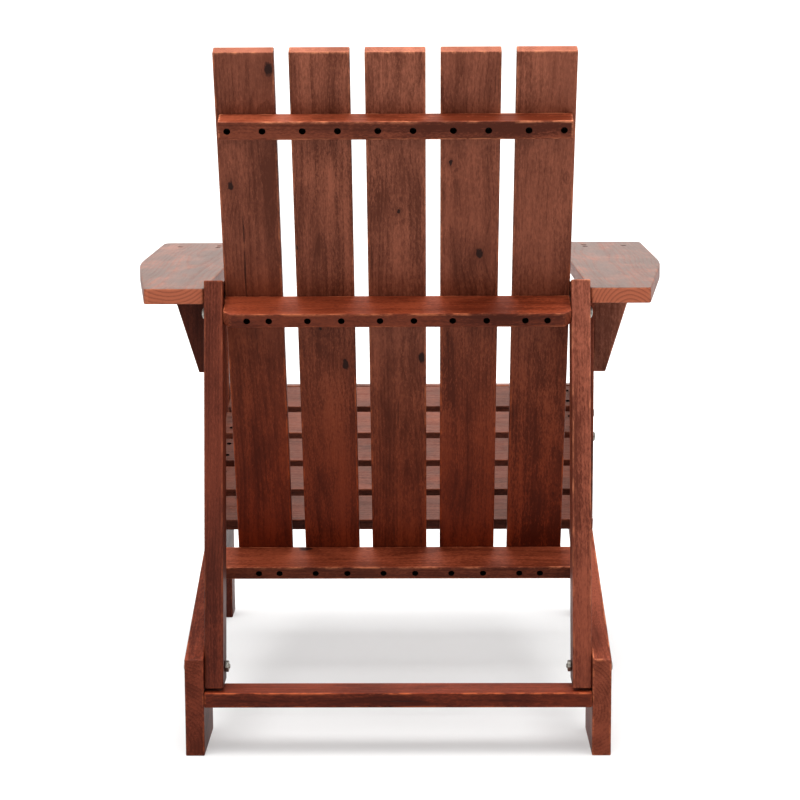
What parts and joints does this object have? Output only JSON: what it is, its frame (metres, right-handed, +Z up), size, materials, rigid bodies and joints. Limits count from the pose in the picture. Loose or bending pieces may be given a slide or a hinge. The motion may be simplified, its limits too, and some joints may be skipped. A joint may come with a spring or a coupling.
{
  "type": "wooden armchair",
  "caption": "Slatted wooden garden armchair with a reclined tall back, a sloping slatted seat and broad flat arms, in red-brown stained timber.",
  "frame": {"origin": "on the floor, under the middle of the bounding box", "axes": "+Z up, the chair faces -Y, and +X is towards the sitter's left"},
  "size_m": [0.7556, 0.8242, 0.8901],
  "materials": {
    "back_slat_wood": "red-brown stain, satin, worn pale along the edges",
    "rail_wood": "red-brown stain, satin, worn pale along the edges",
    "frame_wood": "red-brown stain, satin, with open end grain",
    "seat_wood": "red-brown stain, satin, a little faded",
    "arm_wood": "red-brown stain, satin, a little faded, with paler end grain",
    "steel": "zinc-plated, dulled"
  },
  "bodies": {
    "root": {"back_slat_1": "back_slat_wood", "back_slat_2": "back_slat_wood", "back_slat_3": "back_slat_wood", "back_slat_4": "back_slat_wood", "back_slat_5": "back_slat_wood", "bottom_batten": "rail_wood", "front_apron": "seat_wood", "left_apron_screw_lower": "steel", "left_apron_screw_upper": "steel", "left_arm": "arm_wood", "left_arm_back_screw": "steel", "left_arm_bracket": "arm_wood", "left_arm_bracket_screw": "steel", "left_arm_screw_front": "steel", "left_arm_screw_rear": "steel", "left_bottom_batten_screw": "steel", "left_bracket_screw": "steel", "left_front_leg": "frame_wood", "left_leg_lower_bolt": "steel", "left_leg_lower_nut": "steel", "left_leg_upper_bolt": "steel", "left_leg_upper_nut": "steel", "left_middle_batten_bolt": "steel", "left_post_bolt": "steel", "left_post_nut": "steel", "left_rear_post": "frame_wood", "left_side_rail": "frame_wood", "left_stretcher_screw_front": "steel", "left_stretcher_screw_rear": "steel", "middle_batten": "rail_wood", "rear_stretcher": "rail_wood", "right_apron_screw_lower": "steel", "right_apron_screw_upper": "steel", "right_arm": "arm_wood", "right_arm_back_screw": "steel", "right_arm_bracket": "arm_wood", "right_arm_bracket_screw": "steel", "right_arm_screw_front": "steel", "right_arm_screw_rear": "steel", "right_bottom_batten_screw": "steel", "right_bracket_screw": "steel", "right_front_leg": "frame_wood", "right_leg_lower_bolt": "steel", "right_leg_lower_nut": "steel", "right_leg_upper_bolt": "steel", "right_leg_upper_nut": "steel", "right_middle_batten_bolt": "steel", "right_post_bolt": "steel", "right_post_nut": "steel", "right_rear_post": "frame_wood", "right_side_rail": "frame_wood", "right_stretcher_screw_front": "steel", "right_stretcher_screw_rear": "steel", "seat_slat_1": "seat_wood", "seat_slat_2": "seat_wood", "seat_slat_3": "seat_wood", "seat_slat_4": "seat_wood", "seat_slat_5": "seat_wood", "top_batten": "rail_wood"}
  },
  "joints": []
}
